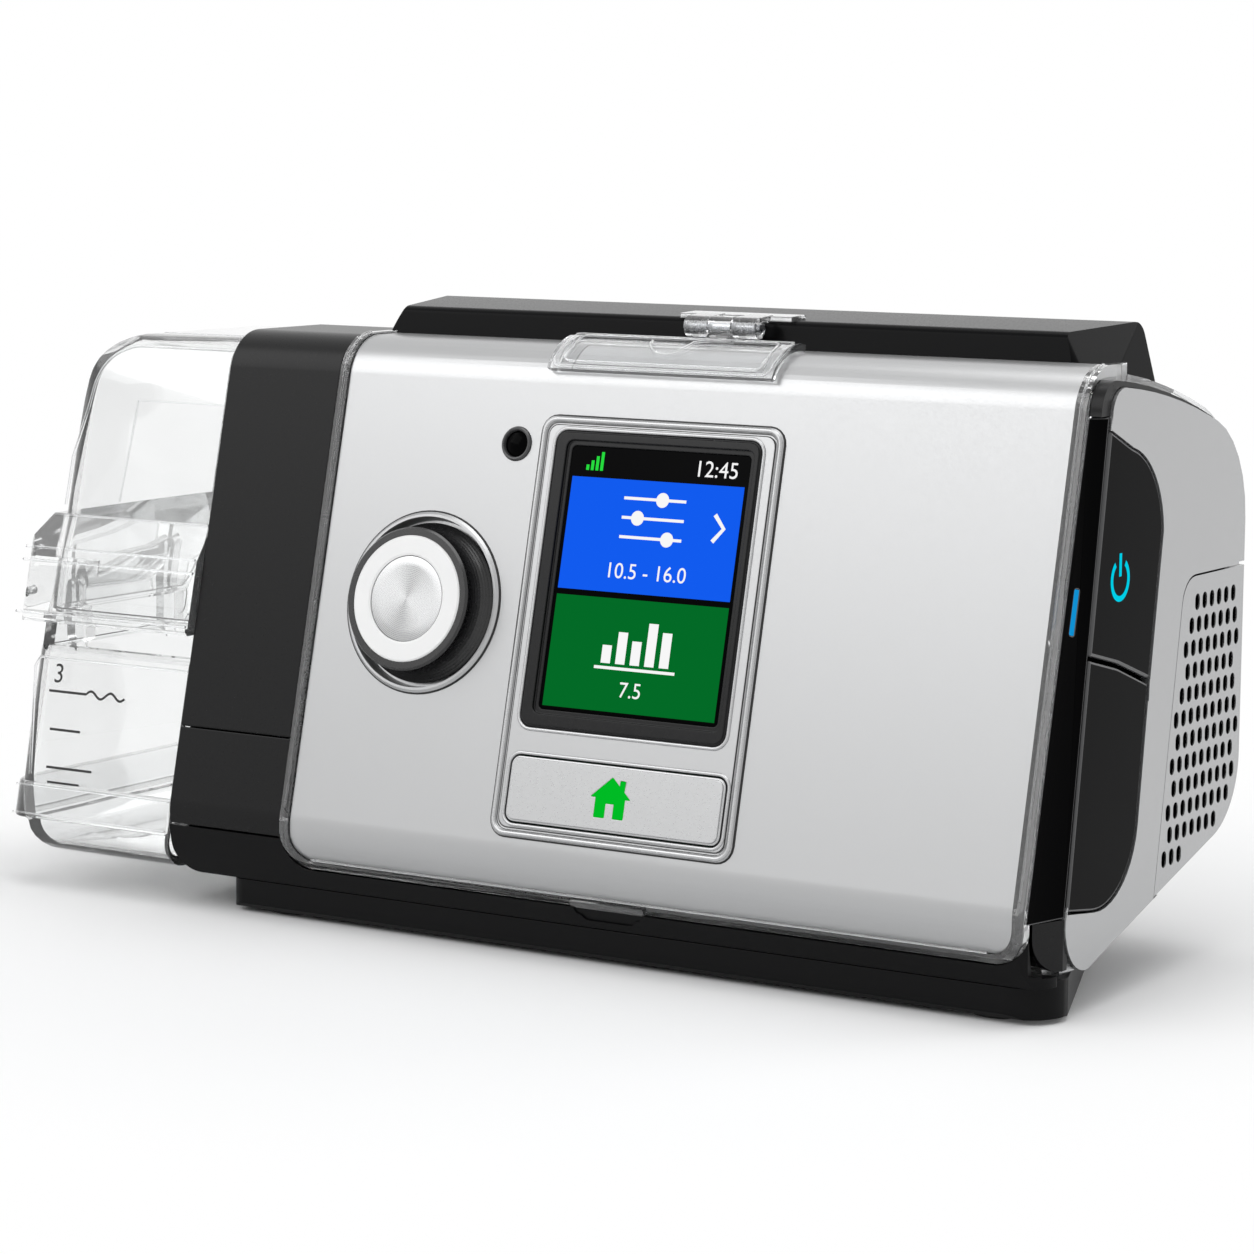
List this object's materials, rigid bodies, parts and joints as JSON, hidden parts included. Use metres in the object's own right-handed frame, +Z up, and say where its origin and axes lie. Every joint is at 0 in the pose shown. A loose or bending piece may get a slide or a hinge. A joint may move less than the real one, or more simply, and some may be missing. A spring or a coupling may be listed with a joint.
{
  "type": "bilevel pap machine",
  "caption": "Table-top breathing device: leaning silver front with colour screen, dial and home key, black band, clear clip-on water tub on the left, vented side grille.",
  "frame": {"origin": "on the table, under the middle of the whole machine's box", "axes": "+X to the right along the front, +Y from the front towards the back, +Z up"},
  "size_m": [0.2554, 0.11, 0.1281],
  "materials": {
    "black_plastic": "satin black moulded plastic",
    "dark_case": "fine-grained black plastic",
    "silver_plastic": "satin silver paint on plastic",
    "grey_plastic": "light grey plastic",
    "clear_plastic": "clear polycarbonate",
    "tub_plastic": "clear moulded plastic, slightly smoky",
    "bezel_black": "gloss black",
    "screen_glass": "lit colour display behind a window",
    "electronics": "dark moulded electronic parts",
    "board": "green circuit board",
    "rubber": "soft black rubber",
    "steel": "plain steel",
    "dial_black": "satin black",
    "dial_white": "white ring",
    "spun_metal": "spun disc",
    "key_silver": "satin silver key",
    "icon_green": "lit green inlay",
    "light_blue": "lit blue light pipe",
    "card_white": "blank silver card",
    "fleece": "dark fine filter fleece",
    "blower_white": "white moulded blower housing",
    "wheel_blue": "blue fan wheel",
    "heater_metal": "bare aluminium plate"
  },
  "bodies": {
    "case": {"base_tray": "dark_case", "feet": "rubber", "bottom_case": "dark_case", "rear_case": "dark_case", "case_screws": "steel", "chin_lip": "dark_case", "spine_cover": "black_plastic", "band_upper": "black_plastic", "band_plate": "black_plastic", "cover_bead": "clear_plastic", "fascia": "silver_plastic", "fascia_trim": "clear_plastic", "display_surround": "silver_plastic", "screen_bezel": "bezel_black", "screen_window": "screen_glass", "lcd_module": "electronics", "control_board": "board", "sensor_ring": "bezel_black", "light_sensor": "bezel_black", "dial_seat": "silver_plastic", "encoder_body": "electronics", "button_switch": "electronics", "label_card": "card_white", "hinge_leaf": "clear_plastic", "hinge_pin": "steel", "side_strip": "bezel_black", "strip_cap_upper": "black_plastic", "strip_cap_lower": "black_plastic", "status_light": "light_blue", "gloss_panel": "bezel_black", "card_socket": "electronics", "side_cover": "grey_plastic", "air_filter": "fleece", "main_board": "board", "power_inlet": "electronics", "blower_base": "blower_white", "blower_lid": "blower_white", "blower_pads": "rubber", "motor": "steel", "air_duct": "electronics", "humid_duct": "black_plastic", "dock_face": "dark_case", "heater_plate": "heater_metal"},
    "dial_plunger": {"encoder_sleeve": "steel"},
    "dial": {"dial_shaft": "steel", "dial_skirt": "dial_black", "dial_ring": "dial_white", "dial_cap": "spun_metal"},
    "home_key": {"home_button": "key_silver", "button_icon": "icon_green"},
    "flap": {"label_flap": "clear_plastic"},
    "card_cover": {"card_door": "bezel_black"},
    "card": {"memory_card": "electronics"},
    "filter_door": {"filter_cover": "grey_plastic"},
    "fan_wheel": {"impeller": "wheel_blue"},
    "tub": {"tub_body": "tub_plastic", "tub_foot_band": "tub_plastic"},
    "lid": {"tub_lid": "tub_plastic", "tub_clip": "tub_plastic", "tub_seal": "rubber"}
  },
  "joints": [
    {"name": "dial_press", "type": "slide", "parent": "case", "child": "dial_plunger", "axis": [0, 0.9728, -0.2317], "range_m": [0, 0.0006], "stiffness_N_per_m": 2500, "springref_m": -0.001},
    {"name": "dial_turn", "type": "hinge", "parent": "dial_plunger", "child": "dial", "pos_m": [-0.01945, -0.0432, 0.06824], "axis": [0, 0.9728, -0.2317], "continuous": true},
    {"name": "home_press", "type": "slide", "parent": "case", "child": "home_key", "axis": [0, 0.9728, -0.2317], "range_m": [0, 0.0008], "stiffness_N_per_m": 1500, "springref_m": -0.001},
    {"name": "flap_hinge", "type": "hinge", "parent": "case", "child": "flap", "pos_m": [0.03625, -0.0171, 0.1254], "axis": [-1, 0, 0], "range_deg": [0, 110]},
    {"name": "card_door_hinge", "type": "hinge", "parent": "case", "child": "card_cover", "pos_m": [0.12755, -0.0305, 0.0188], "axis": [0, 1, 0], "range_deg": [0, 85]},
    {"name": "card_slide", "type": "slide", "parent": "case", "child": "card", "axis": [1, 0, 0], "range_m": [0, 0.0055]},
    {"name": "filter_hinge", "type": "hinge", "parent": "case", "child": "filter_door", "pos_m": [0.12775, 0.0349, 0.0484], "axis": [0, 0, 1], "range_deg": [0, 100]},
    {"name": "fan_spin", "type": "hinge", "parent": "case", "child": "fan_wheel", "pos_m": [0.07625, -0.0045, 0.0724], "axis": [0, 0, 1], "continuous": true},
    {"name": "tub_slide", "type": "slide", "parent": "case", "child": "tub", "axis": [-1, 0, 0], "range_m": [0, 0.07]},
    {"name": "lid_hinge", "type": "hinge", "parent": "tub", "child": "lid", "pos_m": [-0.12475, -0.0125, 0.0629], "axis": [0, -1, 0], "range_deg": [0, 95]}
  ]
}
